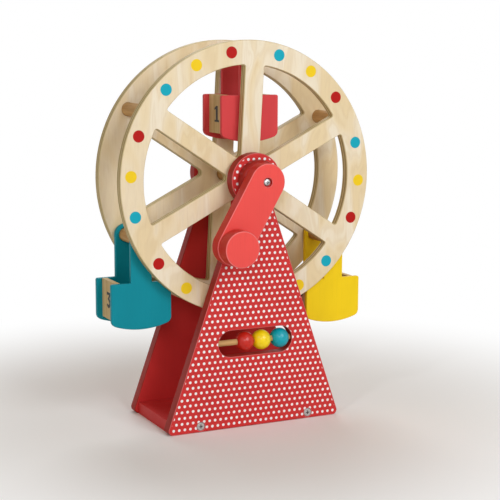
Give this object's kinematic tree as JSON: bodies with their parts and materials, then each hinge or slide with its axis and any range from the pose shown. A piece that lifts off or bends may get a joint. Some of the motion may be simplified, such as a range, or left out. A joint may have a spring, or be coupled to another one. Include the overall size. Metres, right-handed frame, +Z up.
{
  "type": "crank ferris wheel toy",
  "caption": "Wooden toy ferris wheel: a cranked plywood wheel turns between two stand panels, with hanging cars and sliding counting beads.",
  "frame": {"origin": "on the ground under the middle of the base board, midway between the two stand panels", "axes": "+Z up, +X to the right as seen from the crank side, +Y from the crank side to the back, along the axle"},
  "size_m": [0.2777, 0.1547, 0.384],
  "materials": {
    "stand_red": "satin red paint on plywood, white polka dots on the front panel",
    "crank_red": "satin warm red paint",
    "birch_plywood": "clear matt lacquer on birch plywood, with painted dots on the rims",
    "dowel_wood": "bare turned hardwood",
    "washer_wood": "bare hardwood",
    "screw_steel": "bright zinc plated",
    "car_red": "satin red paint, grain showing faintly",
    "car_yellow": "satin yellow paint",
    "car_teal": "satin teal paint",
    "car_board_wood": "bare plywood with a printed number",
    "bead_teal_paint": "gloss lacquer",
    "bead_yellow_paint": "gloss lacquer",
    "bead_red_paint": "gloss lacquer"
  },
  "bodies": {
    "stand": {"front_panel": "stand_red", "rear_panel": "stand_red", "base_board": "stand_red", "bead_rod": "dowel_wood", "base_screw_1": "screw_steel", "base_screw_2": "screw_steel", "base_screw_3": "screw_steel", "base_screw_4": "screw_steel", "front_washer": "washer_wood", "rear_washer": "washer_wood"},
    "wheel": {"front_wheel": "birch_plywood", "rear_wheel": "birch_plywood", "axle": "dowel_wood", "spacer_dowel_1": "dowel_wood", "spacer_dowel_2": "dowel_wood", "spacer_dowel_3": "dowel_wood", "car_dowel_1": "dowel_wood", "car_dowel_2": "dowel_wood", "car_dowel_3": "dowel_wood", "crank_spacer": "crank_red", "crank_arm": "crank_red", "crank_screw": "screw_steel", "rear_cap": "crank_red", "rear_screw": "screw_steel"},
    "knob": {"crank_knob": "crank_red", "knob_screw": "screw_steel"},
    "car_1": {"car_1_front_side": "car_red", "car_1_rear_side": "car_red", "car_1_left_end": "car_board_wood", "car_1_right_end": "car_board_wood", "car_1_floor": "car_board_wood"},
    "car_2": {"car_2_front_side": "car_yellow", "car_2_rear_side": "car_yellow", "car_2_left_end": "car_board_wood", "car_2_right_end": "car_board_wood", "car_2_floor": "car_board_wood"},
    "car_3": {"car_3_front_side": "car_teal", "car_3_rear_side": "car_teal", "car_3_left_end": "car_board_wood", "car_3_right_end": "car_board_wood", "car_3_floor": "car_board_wood"},
    "bead_teal": {"teal_bead": "bead_teal_paint"},
    "bead_yellow": {"yellow_bead": "bead_yellow_paint"},
    "bead_red": {"red_bead": "bead_red_paint"}
  },
  "joints": [
    {"name": "wheel_spin", "type": "hinge", "parent": "stand", "child": "wheel", "pos_m": [0, 0, 0.248], "axis": [0, 1, 0], "continuous": true},
    {"name": "knob_spin", "type": "hinge", "parent": "wheel", "child": "knob", "pos_m": [-0.03515, -0.085, 0.18712], "axis": [0, 1, 0], "continuous": true},
    {"name": "car_1_swing", "type": "hinge", "parent": "wheel", "child": "car_1", "pos_m": [0.00649, 0, 0.37183], "axis": [0, 1, 0], "continuous": true},
    {"name": "car_2_swing", "type": "hinge", "parent": "wheel", "child": "car_2", "pos_m": [0.104, 0, 0.18046], "axis": [0, 1, 0], "continuous": true},
    {"name": "car_3_swing", "type": "hinge", "parent": "wheel", "child": "car_3", "pos_m": [-0.11048, 0, 0.1917], "axis": [0, 1, 0], "continuous": true},
    {"name": "teal_bead_slide", "type": "slide", "parent": "stand", "child": "bead_teal", "axis": [1, 0, 0], "range_m": [-0.0066, 0.0014]},
    {"name": "yellow_bead_slide", "type": "slide", "parent": "bead_teal", "child": "bead_yellow", "axis": [1, 0, 0], "range_m": [-0.0066, 0.0024]},
    {"name": "red_bead_slide", "type": "slide", "parent": "bead_yellow", "child": "bead_red", "axis": [1, 0, 0], "range_m": [-0.0079, 0.0005]}
  ]
}
